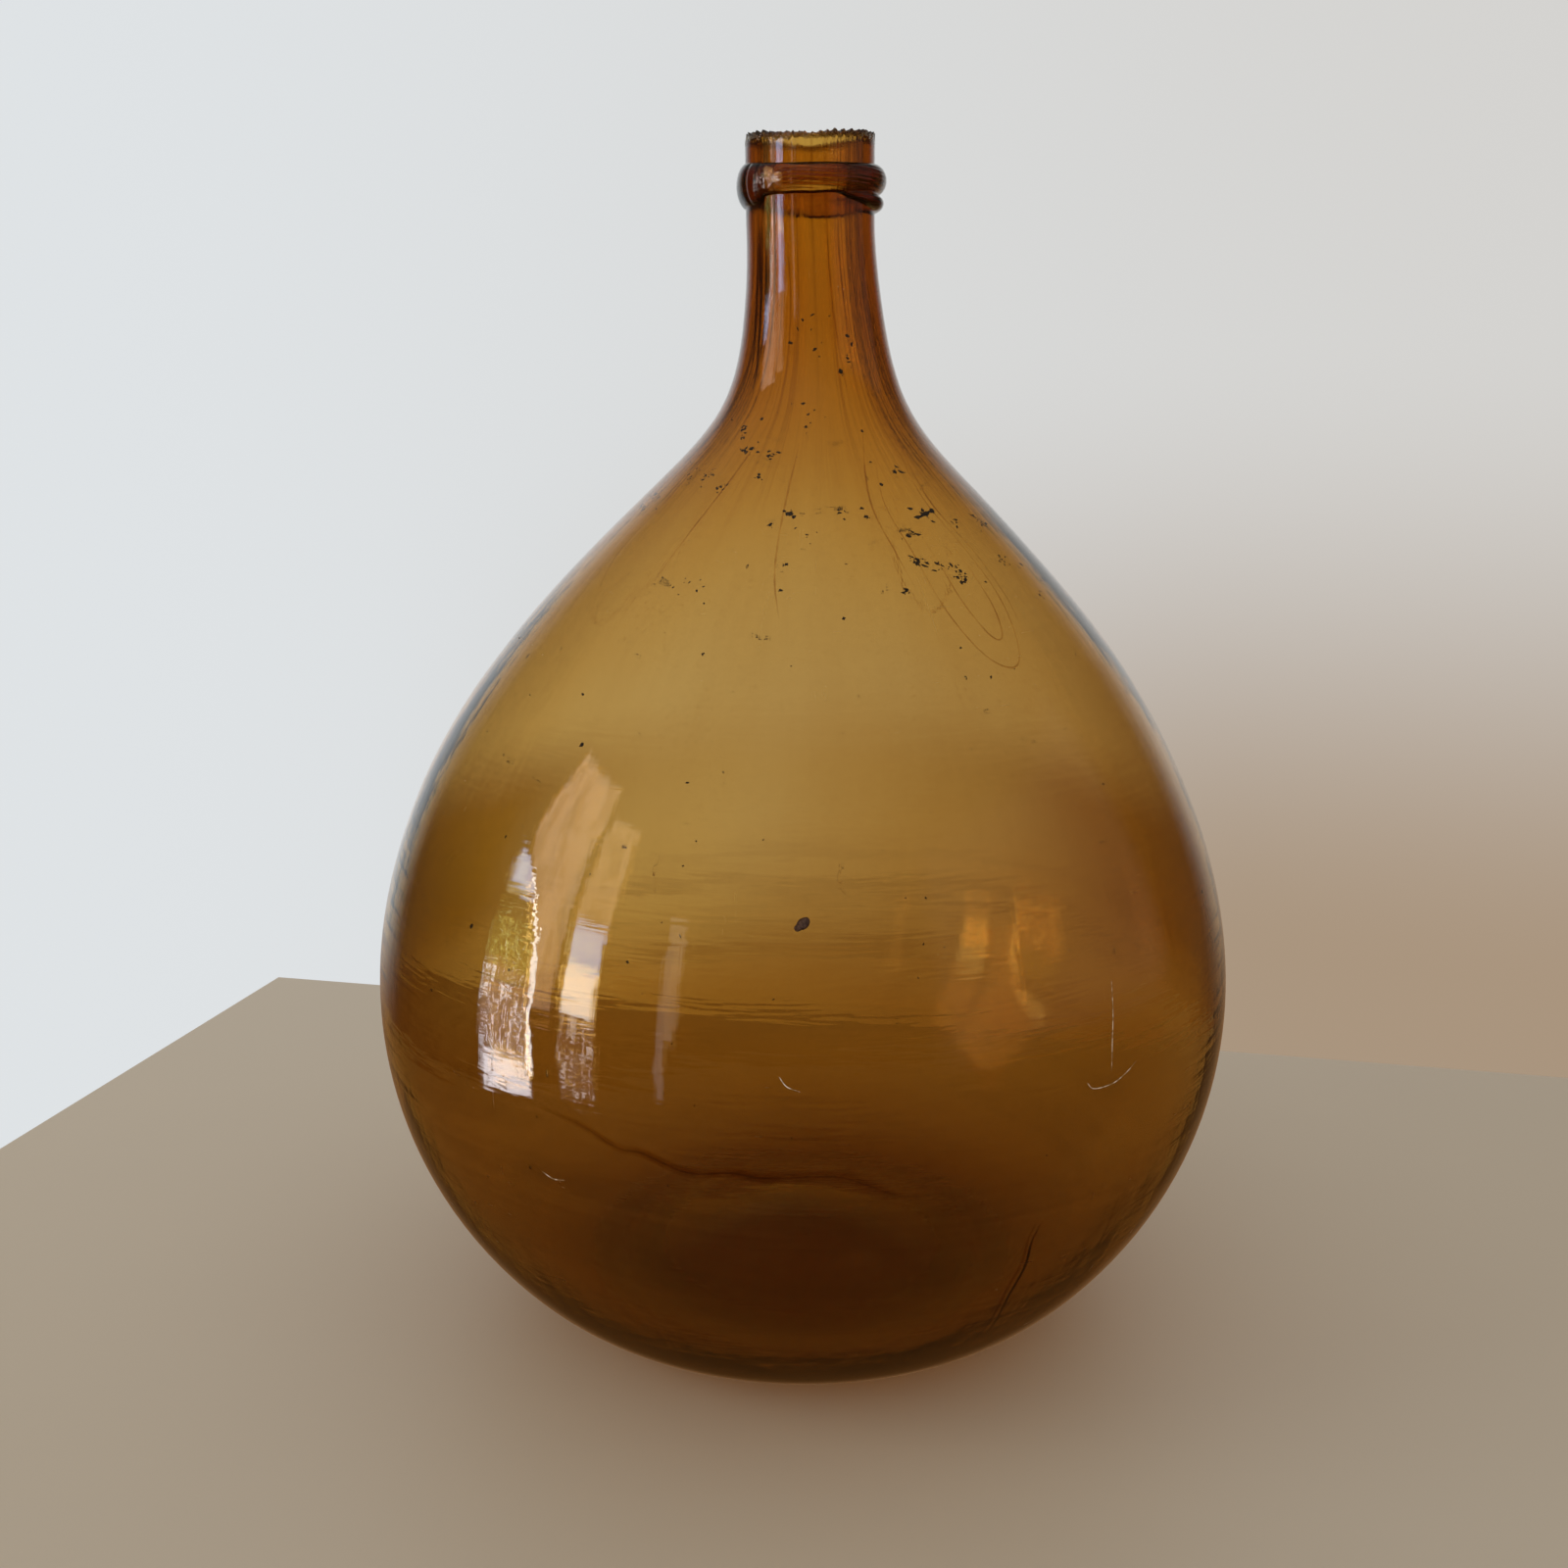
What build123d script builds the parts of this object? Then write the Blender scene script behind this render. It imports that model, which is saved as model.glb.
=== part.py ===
from build123d import *
import os
from math import cos, exp, radians, sin

# A free-blown glass carboy: a pear-shaped vessel with a cracked-off lip, and the glass
# trail wound round its neck, which the string of a tied-down cork catches under.
# Millimetres, +Z up. The origin is the centre of the resting ring, on the plane it
# stands on. The front is -Y, and angles about the neck run from the front (0) by the
# right (90, +X) to the back (180) and the left (270).

# Outside of the blown form: each level's radius and its rise above the level below
FOOT_R = 66.0
HEEL_R = 112.0
HEEL_RISE = 28.0
BELLY_R = 141.2
BELLY_RISE = 82.0
SHOULDER_R = 110.7
SHOULDER_RISE = 95.0
THROAT_R = 49.0
THROAT_RISE = 70.2
NECK_ROOT_R = 29.6
NECK_ROOT_RISE = 23.3
NECK_FLARE_R = 22.0
NECK_FLARE_RISE = 28.5
NECK_R = 20.2
NECK_RISE = 25.0
FINISH_L = 27.0

# Glass thickness, square to the outside
FOOT_WALL = 5.0
HEEL_WALL = 3.8
BELLY_WALL = 2.6
SHOULDER_WALL = 3.0
THROAT_WALL = 4.2
NECK_ROOT_WALL = 5.6
NECK_FLARE_WALL = 6.8
BORE_R = 13.4

# Underside: a worn flat ring, and the kick-up pushed into the hot base inside it
RESTING_RING_W = 5.0
KICK_UP_RISE = 13.0
KICK_UP_WALL = 8.0

# Cracked-off lip: a slant towards the front, a three-lobed wave and one deeper chip
LIP_SLANT = 1.0
LIP_WAVE = 0.5
LIP_WAVE_ANGLE = 70.0
LIP_CHIP = 2.4
LIP_CHIP_SPREAD = 5.0
LIP_CHIP_ANGLE = 268.0
LIP_MARGIN = 8.0
LIP_GRID_STEPS = 24

# Wound trail: the bead's middle below the lip, its height and how far it stands out,
# each at the front, right, back and left of the neck
BEAD_DROP = (15.3, 12.7, 13.4, 14.8)
BEAD_HEIGHT = (8.6, 9.4, 11.0, 13.4)
BEAD_DEPTH = (3.2, 4.0, 3.5, 2.8)
BEAD_STEP = 30.0

# The lap, where the bead's end rides over its start
LAP_ANGLE = -37.0
LAP_OVERRUN = 16.0
LAP_SHRINK = 0.72

# The trail's thin beginning, which runs up from below the bead and goes in under it
TAIL_ANGLE = 52.0
TAIL_TURN = 200.0
TAIL_DROP = 20.0
TAIL_CLIMB = 3.2
TAIL_TIP_HEIGHT = 3.0
TAIL_HEIGHT = 7.0
TAIL_TIP_DEPTH = 0.9
TAIL_DEPTH = 3.0

HEEL_Z = HEEL_RISE
BELLY_Z = HEEL_Z + BELLY_RISE
SHOULDER_Z = BELLY_Z + SHOULDER_RISE
THROAT_Z = SHOULDER_Z + THROAT_RISE
NECK_ROOT_Z = THROAT_Z + NECK_ROOT_RISE
NECK_FLARE_Z = NECK_ROOT_Z + NECK_FLARE_RISE
NECK_Z = NECK_FLARE_Z + NECK_RISE
LIP_Z = NECK_Z + FINISH_L
TRIM_Z = LIP_Z + LIP_MARGIN


def around(angle):
    """The unit direction that leaves the neck at an angle counted from the front."""
    return Vector(sin(radians(angle)), -cos(radians(angle)), 0)


def smooth_curve(points, start, end):
    """A curve through the points that leaves and arrives along the given directions."""
    return Spline(*points, tangents=[start, end], tangent_scalars=[1, 1])


def outside_curve():
    """One smooth curve up the outside, from the resting ring to the straight neck."""
    levels = [
        (FOOT_R, 0),
        (HEEL_R, HEEL_Z),
        (BELLY_R, BELLY_Z),
        (SHOULDER_R, SHOULDER_Z),
        (THROAT_R, THROAT_Z),
        (NECK_ROOT_R, NECK_ROOT_Z),
        (NECK_FLARE_R, NECK_FLARE_Z),
        (NECK_R, NECK_Z),
    ]
    return smooth_curve([(r, 0, z) for r, z in levels], (1, 0, 0), (0, 0, 1))


def inside_curves(outside):
    """The cavity: a floor that follows the kick-up down to a trough over the resting
    ring, then the outside curve less the glass at each level."""
    levels = [
        (HEEL_R, HEEL_Z, HEEL_WALL),
        (BELLY_R, BELLY_Z, BELLY_WALL),
        (SHOULDER_R, SHOULDER_Z, SHOULDER_WALL),
        (THROAT_R, THROAT_Z, THROAT_WALL),
        (NECK_ROOT_R, NECK_ROOT_Z, NECK_ROOT_WALL),
        (NECK_FLARE_R, NECK_FLARE_Z, NECK_FLARE_WALL),
    ]
    crown = (0, 0, KICK_UP_RISE + KICK_UP_WALL)
    trough = (FOOT_R, 0, FOOT_WALL)
    side = [trough]
    for r, z, wall in levels:
        along = outside.tangent_at(Vector(r, 0, z))
        side.append((r - wall * along.Z, 0, z + wall * along.X))
    side.append((BORE_R, 0, NECK_Z))
    floor = smooth_curve([crown, trough], (1, 0, 0), (1, 0, 0))
    return floor, smooth_curve(side, (1, 0, 0), (0, 0, 1))


def turned(*edges):
    """A solid of revolution about the vertical axis from a closed half outline."""
    return revolve(make_face(edges), Axis.Z)


def blown_form():
    """The whole outside, with the resting ring and the kick-up, up past the lip."""
    outside = outside_curve()
    kick_up_r = FOOT_R - RESTING_RING_W
    kick_up = smooth_curve([(0, 0, KICK_UP_RISE), (kick_up_r, 0, 0)], (1, 0, 0), (1, 0, -0.5))
    ring = Line((kick_up_r, 0, 0), (FOOT_R, 0, 0))
    neck = Line((NECK_R, 0, NECK_Z), (NECK_R, 0, TRIM_Z))
    top = Line((NECK_R, 0, TRIM_Z), (0, 0, TRIM_Z))
    middle = Line((0, 0, TRIM_Z), (0, 0, KICK_UP_RISE))
    return turned(kick_up, ring, outside, neck, top, middle)


def cavity():
    """The hollow, which ends above in the straight bore of the mouth."""
    floor, side = inside_curves(outside_curve())
    bore = Line((BORE_R, 0, NECK_Z), (BORE_R, 0, TRIM_Z))
    top = Line((BORE_R, 0, TRIM_Z), (0, 0, TRIM_Z))
    middle = Line((0, 0, TRIM_Z), (0, 0, KICK_UP_RISE + KICK_UP_WALL))
    return turned(floor, side, bore, top, middle)


def lip_height(x, y):
    """Height of the broken edge: slant, three-lobed wave (the real part of the cube of
    x + iy, turned) and a bell-shaped chip on the outer edge."""
    turn = radians(3 * LIP_WAVE_ANGLE)
    real = x ** 3 - 3 * x * y ** 2
    imaginary = 3 * x ** 2 * y - y ** 3
    lobes = (real * cos(turn) + imaginary * sin(turn)) / NECK_R ** 3
    chip = around(LIP_CHIP_ANGLE) * NECK_R
    away = ((x - chip.X) ** 2 + (y - chip.Y) ** 2) / LIP_CHIP_SPREAD ** 2
    return LIP_Z + LIP_SLANT * y / NECK_R + LIP_WAVE * lobes - LIP_CHIP * exp(-away)


def broken_off_piece():
    """What the blowpipe kept: everything above the wavy surface of the break."""
    reach = NECK_R + LIP_MARGIN / 2
    steps = [reach * (2 * i / LIP_GRID_STEPS - 1) for i in range(LIP_GRID_STEPS + 1)]
    grid = [[(x, y, lip_height(x, y)) for y in steps] for x in steps]
    surface = Face.make_surface_from_array_of_points(grid)
    return extrude(surface, amount=2 * LIP_MARGIN, dir=(0, 0, 1))


def vessel():
    """The blown vessel, hollow, with its lip left as it broke."""
    return blown_form() - cavity() - broken_off_piece()


def swell(quarters, angle):
    """A smooth periodic value through its front, right, back and left values."""
    front, right, back, left = quarters
    turn = radians(angle)
    mean = (front + right + back + left) / 4
    twice = (front - right + back - left) / 4
    return mean + (front - back) / 2 * cos(turn) + (right - left) / 2 * sin(turn) + twice * cos(2 * turn)


def trail_section(angle, drop, height, depth):
    """A section of the trail: an ellipse centred on the neck's surface, in the plane
    that holds the neck's axis. Its half inside the glass is cut away later."""
    middle = around(angle) * NECK_R + Vector(0, 0, LIP_Z - drop)
    plane = Plane(origin=middle, x_dir=-around(angle), z_dir=around(angle + 90))
    return plane * Ellipse(depth, height / 2)


def bead_section(angle, shrink=1.0):
    """The bead's section at an angle, made smaller at the lap by the share given."""
    drop = swell(BEAD_DROP, angle)
    height = swell(BEAD_HEIGHT, angle) * shrink
    depth = swell(BEAD_DEPTH, angle) * shrink
    return trail_section(angle, drop, height, depth)


def bead_halves():
    """One turn of hot glass as two half turns that meet behind the right. The start is
    smaller, and the end rides over it at the lap."""
    steps = int(180 / BEAD_STEP)
    middle = LAP_ANGLE + 180
    first = [bead_section(LAP_ANGLE, LAP_SHRINK)]
    first += [bead_section(LAP_ANGLE + BEAD_STEP * i) for i in range(1, steps + 1)]
    second = [bead_section(middle + BEAD_STEP * i) for i in range(steps + 1)]
    second.append(bead_section(middle + 180 + LAP_OVERRUN, LAP_SHRINK))
    return [loft(first), loft(second)]


def tail():
    """The thin beginning of the trail, which climbs and thickens until the bead hides it."""
    steps = round(TAIL_TURN / BEAD_STEP)
    sections = []
    for i in range(steps + 1):
        share = i / steps
        growth = sin(radians(90 * share))
        drop = TAIL_DROP - TAIL_CLIMB * share
        height = TAIL_TIP_HEIGHT + (TAIL_HEIGHT - TAIL_TIP_HEIGHT) * growth
        depth = TAIL_TIP_DEPTH + (TAIL_DEPTH - TAIL_TIP_DEPTH) * growth
        sections.append(trail_section(TAIL_ANGLE + TAIL_TURN * share, drop, height, depth))
    return loft(sections)


def string_ring():
    """The trail as it lies on the neck: each stretch is seated on the vessel's own
    outside, and the stretches are melted into one."""
    neck = blown_form()
    stretches = [stretch - neck for stretch in [*bead_halves(), tail()]]
    ring = stretches[0]
    for stretch in stretches[1:]:
        ring += stretch
    return ring


os.makedirs("parts", exist_ok=True)
export_step(vessel(), "parts/vessel.step")
export_step(string_ring(), "parts/string_ring.step")
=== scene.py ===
import math

import bpy
import numpy as np
from mathutils import Matrix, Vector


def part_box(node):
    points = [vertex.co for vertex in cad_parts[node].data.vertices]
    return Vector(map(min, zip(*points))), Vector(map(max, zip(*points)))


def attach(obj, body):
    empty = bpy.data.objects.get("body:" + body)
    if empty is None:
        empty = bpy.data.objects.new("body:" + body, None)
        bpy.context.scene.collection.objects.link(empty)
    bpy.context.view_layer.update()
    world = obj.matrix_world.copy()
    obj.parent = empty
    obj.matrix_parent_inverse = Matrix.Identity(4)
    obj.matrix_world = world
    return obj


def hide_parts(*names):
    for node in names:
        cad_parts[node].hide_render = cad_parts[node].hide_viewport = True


# The looks of a free-blown glass carboy. Metres; the front is -Y, and angles round the axis
# run from the front by the right (+X). The blown form follows the solids' own levels.

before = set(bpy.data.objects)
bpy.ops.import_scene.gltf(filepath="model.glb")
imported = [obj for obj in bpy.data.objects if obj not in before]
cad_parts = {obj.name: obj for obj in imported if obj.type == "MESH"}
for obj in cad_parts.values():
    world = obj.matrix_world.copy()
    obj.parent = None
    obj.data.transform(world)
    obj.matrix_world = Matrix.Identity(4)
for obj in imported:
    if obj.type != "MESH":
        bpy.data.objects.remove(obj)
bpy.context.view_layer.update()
vessel_low, vessel_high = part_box("vessel")

MM = 0.001
COLUMNS = 320

# Levels of the outside, (radius, height), from the resting ring to the straight neck
FOOT_R = 66.0 * MM
BELLY_R = (vessel_high.x - vessel_low.x) / 2
NECK_R = 20.2 * MM
NECK_Z = 352.0 * MM
OUTSIDE_LEVELS = (
    (FOOT_R, 0.0), (112.0 * MM, 28.0 * MM), (BELLY_R, 110.0 * MM), (110.7 * MM, 205.0 * MM),
    (49.0 * MM, 275.2 * MM), (29.6 * MM, 298.5 * MM), (22.0 * MM, 327.0 * MM), (NECK_R, NECK_Z),
)
# Glass thickness at the levels between the resting ring and the straight neck
WALLS = (3.8 * MM, 2.6 * MM, 3.0 * MM, 4.2 * MM, 5.6 * MM, 6.8 * MM)
FOOT_WALL = 5.0 * MM
BORE_R = 13.4 * MM

# The break of the lip: its slant to the front, the saddle that lifts its sides, its
# three-lobed wave with a crest, and the chip in its outer left corner
LIP_Z = 379.0 * MM
TALLEST = vessel_high.z
LIP_SLANT = 1.0 * MM
LIP_SADDLE = 1.6 * MM
LIP_TILT = 0.3 * MM
LIP_SINK = 0.5 * MM
LIP_WAVE = 0.3 * MM
LIP_CREST = math.radians(40.0)
LIP_CHIP = 2.9 * MM
LIP_CHIP_ANGLE = math.radians(268.0)
LIP_CHIP_SPREAD = 5.0 * MM

# Underside
RESTING_RING_W = 5.0 * MM
KICK_UP_RISE = 13.0 * MM
KICK_UP_WALL = 8.0 * MM

# The neck grew out of true on the pipe: its sideways lean in millimetres, as (height,
# offset to the right)
LEAN = (
    (183, 0), (196, 0.3), (209, 0.7), (221, 1.2), (246, 1.7), (271, 2.5), (296, 3.0),
    (308, 2.9), (320, 2.5), (332, 2.0), (344, 1.4), (352, 1.0), (365, 0.7), (381, 0.6),
)


# ---- curves and waves

def unit(vectors):
    """The vectors, each scaled to a length of one."""
    return vectors / np.linalg.norm(vectors, axis=1)[:, None]


def directions(path):
    """The unit direction of a dense path at each of its points."""
    return unit(np.gradient(path, axis=0))


def way_walked(path):
    """The distance from the start of a path, at each of its points."""
    return np.concatenate([[0.0], np.cumsum(np.linalg.norm(np.diff(path, axis=0), axis=1))])


def hermite(u, width, start, leaving, end, arriving):
    """The cubic between two values with the slopes there, at a share of the gap's width."""
    return ((1 + 2 * u) * (1 - u) ** 2 * start + u * (1 - u) ** 2 * width * leaving
            + u ** 2 * (3 - 2 * u) * end + u ** 2 * (u - 1) * width * arriving)


def clamped_curve(points, start, end, steps):
    """The cubic through the points, timed by the distance from point to point, that leaves
    and arrives with the given unit slopes; slopes in between make its bend continuous."""
    p = np.asarray(points, float)
    at = way_walked(p)
    gap = np.diff(at)
    rise = np.diff(p, axis=0) / gap[:, None]
    n = len(p)
    ties = np.eye(n)
    wanted = np.zeros((n, 2))
    wanted[0], wanted[-1] = start, end
    inner = np.arange(1, n - 1)
    ties[inner, inner - 1] = gap[1:]
    ties[inner, inner] = 2 * (gap[:-1] + gap[1:])
    ties[inner, inner + 1] = gap[:-1]
    wanted[inner] = 3 * (gap[1:, None] * rise[:-1] + gap[:-1, None] * rise[1:])
    slope = np.linalg.solve(ties, wanted)
    s = np.linspace(0.0, at[-1], steps)
    k = np.clip(np.searchsorted(at, s, "right") - 1, 0, n - 2)
    u = ((s - at[k]) / gap[k])[:, None]
    return hermite(u, gap[k][:, None], p[k], slope[k], p[k + 1], slope[k + 1])


def catmull(values, t):
    """A smooth curve through values at whole knots; the slope at each is that of its
    neighbours."""
    slope = np.gradient(values)
    k = np.clip(t.astype(int), 0, len(values) - 2)
    return hermite(t - k, 1.0, values[k], slope[k], values[k + 1], slope[k + 1])


def standing(r, angle, z):
    """Points at a radius, an angle round the axis and a height, each moved to the right by
    the lean there, which is joined by straight steps."""
    lean = np.interp(z, *np.transpose(LEAN) * MM)
    return np.stack([r * np.sin(angle) + lean, -r * np.cos(angle), z], axis=-1)


def round_angles(count):
    """Angles spread evenly round a full turn, from 0."""
    return np.linspace(0, 2 * math.pi, count, endpoint=False)


def rolling_waves(angle, height, seed, lobes, climb):
    """A sum of cosines, each running round the axis a whole number of times and drifting up
    at its own seeded rate, the finer ones weaker; it lies between about -1 and 1."""
    chance = np.random.default_rng(seed)
    total = np.zeros(np.broadcast(angle, height).shape)
    weight = 0.0
    for count in lobes:
        rate = chance.uniform(-climb, climb)
        phase = chance.uniform(0, 2 * math.pi)
        share = 1.0 / math.sqrt(count)
        total += share * np.cos(count * angle + rate * height + phase)
        weight += share * share
    return total / (2 * math.sqrt(weight))


def smooth_step(low, high, value):
    """0 below low, 1 above high, and an S-shaped rise between them."""
    t = np.clip((value - low) / (high - low), 0.0, 1.0)
    return t * t * (3 - 2 * t)


def stretch(value, start, full, fading, gone):
    """0 up to the start, 1 from full to fading, and 0 again once it is gone."""
    return smooth_step(start, full, value) * (1 - smooth_step(fading, gone, value))


def bell(offset, width):
    """The bell-shaped curve of an offset: 1 in its middle, 0.37 at the width."""
    return np.exp(-(offset / width) ** 2)


# ---- meshes

def grid_faces(rows, columns, closed_rows=False):
    """Four-sided faces of a grid whose columns close on themselves, and its rows too if
    asked; each runs (row, column), (row, next), (next row, next), (next row, column)."""
    i = np.arange(rows if closed_rows else rows - 1)[:, None]
    j = np.arange(columns)[None, :]
    up, on = (i + 1) % rows, (j + 1) % columns
    corners = [i * columns + j, i * columns + on, up * columns + on, up * columns + j]
    return np.stack([c.ravel() for c in corners], axis=1)


def fan(tip, first, count, reverse=False):
    """Triangles from a tip to a closed ring of points that starts at the first one."""
    j = np.arange(count)
    on = (j + 1) % count
    near, far = (on, j) if reverse else (j, on)
    return np.stack([np.full(count, tip), first + near, first + far], axis=1)


def make_piece(name, form, finish, marks=None):
    """A mesh object at the origin. The form holds an array of points and one of faces for
    each number of corners. Each of the marks is kept as an attribute of the points, one
    number or three numbers a point."""
    points, *faces = form
    mesh = bpy.data.meshes.new(name)
    mesh.from_pydata(points, [], [face for kind in faces for face in kind.tolist()], shade_flat=False)
    for key, values in (marks or {}).items():
        kind, field = ("FLOAT", "value") if values.ndim == 1 else ("FLOAT_VECTOR", "vector")
        mark = mesh.attributes.new(key, kind, "POINT")
        mark.data.foreach_set(field, np.asarray(values, np.float32).ravel())
    mesh.materials.append(finish)
    piece = bpy.data.objects.new(name, mesh)
    bpy.context.scene.collection.objects.link(piece)
    return piece


def gathered(parts):
    """Several sets of points, quads and triangles as one."""
    sizes = np.array([len(part[0]) for part in parts])
    offsets = np.cumsum(sizes) - sizes
    faces = [np.concatenate([part[kind] + offset for part, offset in zip(parts, offsets)])
             for kind in (1, 2)]
    return np.concatenate([part[0] for part in parts]), *faces


# ---- the blown vessel

def lip_height(r, angle):
    """Height of the break at a radius and angle: a slant to the front, a saddle that lifts
    the sides, a three-lobed wave that grows with the cube of the radius, and one
    bell-shaped chip on the outer left corner."""
    out = r / NECK_R
    across = out * np.sin(angle)
    saddle = LIP_SADDLE * across ** 2 + LIP_TILT * across - LIP_SINK
    wave = LIP_WAVE * out ** 3 * np.cos(3 * (angle - LIP_CREST))
    away = (1 + out ** 2 - 2 * out * np.cos(angle - LIP_CHIP_ANGLE)) * NECK_R ** 2
    chip = LIP_CHIP * np.exp(-away / LIP_CHIP_SPREAD ** 2)
    return LIP_Z - LIP_SLANT * out * np.cos(angle) + saddle + wave - chip


def teeth(angle, across=0.0, seed=41):
    """Conchoidal hollows of the break: folded cosines give round hollows that meet in
    sharp crests, from wide hollows down to grains. The result lies between 0 and 1."""
    chance = np.random.default_rng(seed)
    total = np.zeros(np.broadcast(angle, across).shape)
    for count, depth in ((7, 0.13), (13, 0.14), (27, 0.22), (43, 0.23), (67, 0.16), (131, 0.12)):
        phase = chance.uniform(0, 2 * math.pi)
        skew = chance.uniform(-1.8, 1.8)
        sway = chance.uniform(0.6, 1.8) * np.sin(angle * chance.integers(2, 6) + phase)
        total += depth * np.abs(np.cos(count * angle / 2 + phase + sway + skew * across))
    return total


def vessel_profile():
    """Four dense curves of (radius, height): the underside of the kick-up, the outside,
    the inside, which keeps the glass thickness square to the outside, and the floor."""
    outside = clamped_curve(OUTSIDE_LEVELS, (1, 0), (0, 1), 4001)
    slopes = directions(outside)
    side = [(FOOT_R, FOOT_WALL)]
    for (r, z), wall in zip(OUTSIDE_LEVELS[1:7], WALLS):
        along = slopes[np.argmin(np.hypot(outside[:, 0] - r, outside[:, 1] - z))]
        side.append((r - wall * along[1], z + wall * along[0]))
    side.append((BORE_R, NECK_Z))
    inside = clamped_curve(side, (1, 0), (0, 1), 4001)
    kick_up = [(0, KICK_UP_RISE), (FOOT_R - RESTING_RING_W, 0)]
    under = clamped_curve(kick_up, (1, 0), (1, 0), 18)
    floor = [(0, KICK_UP_RISE + KICK_UP_WALL), (FOOT_R, FOOT_WALL)]
    floor = clamped_curve(floor, (1, 0), (1, 0), 18)
    return under, outside, inside, floor


UNDER, OUTSIDE, INSIDE, FLOOR = vessel_profile()


def thinned(path, rows, crowd):
    """Rows spread along a dense path; crowd makes them closer towards its end."""
    walked = way_walked(path)
    share = np.linspace(0, 1, rows)
    wanted = (share + crowd * share * (1 - share)) * walked[-1]
    return np.stack([np.interp(wanted, walked, path[:, c]) for c in (0, 1)], axis=1)


def outside_roll(angle, r, z):
    """How far the outside lies inside the true form: slow waves with finer ones in them,
    calm at the foot, and at most half a millimetre."""
    calm = smooth_step(2 * MM, 40 * MM, z)
    slow = rolling_waves(angle, z, 7, (2, 3, 4, 5, 7, 9, 13), 45.0)
    fine = rolling_waves(angle, z, 19, (11, 17, 22, 29), 160.0)
    return calm * ((slow - 1.0) * 0.2 + (fine - 1.0) * 0.025) * MM * (0.35 + 0.65 * r / BELLY_R)


def bore_streaks(angle, z):
    """How far the bore stands out of true, in millimetres: the pipe's blow drew it into
    upright furrows, a few broad ones with many narrow ones on them."""
    broad = rolling_waves(angle, z, 23, (3, 5, 8, 11), 6.0)
    narrow = rolling_waves(angle, z, 29, (17, 23, 31, 43), 9.0)
    return 0.32 * broad + 0.16 * narrow


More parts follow.
